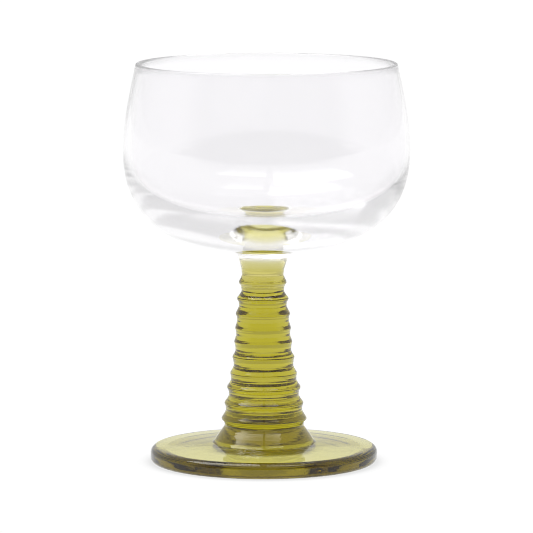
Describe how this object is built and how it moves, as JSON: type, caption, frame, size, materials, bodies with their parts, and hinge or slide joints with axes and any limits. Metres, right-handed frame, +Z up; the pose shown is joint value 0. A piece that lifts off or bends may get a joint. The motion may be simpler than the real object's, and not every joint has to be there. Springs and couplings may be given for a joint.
{
  "type": "stemmed wine glass",
  "caption": "Low round-bowled goblet in clear glass on an olive green ringed stem and a thick round foot, for wine or other drinks.",
  "frame": {"origin": "centre of the foot's underside, on the surface the glass stands on", "axes": "+Z up along the axis of the glass; +X and +Y are free, because the glass is a solid of revolution"},
  "size_m": [0.0894, 0.0894, 0.125],
  "materials": {
    "bowl_glass": "clear, fire polished",
    "collar_glass": "clear running into pale olive, fire polished",
    "stem_glass": "transparent olive green, fire polished",
    "foot_glass": "transparent olive green, fire polished"
  },
  "bodies": {
    "root": {"bowl": "bowl_glass", "collar": "collar_glass", "stem": "stem_glass", "foot": "foot_glass"}
  },
  "joints": []
}
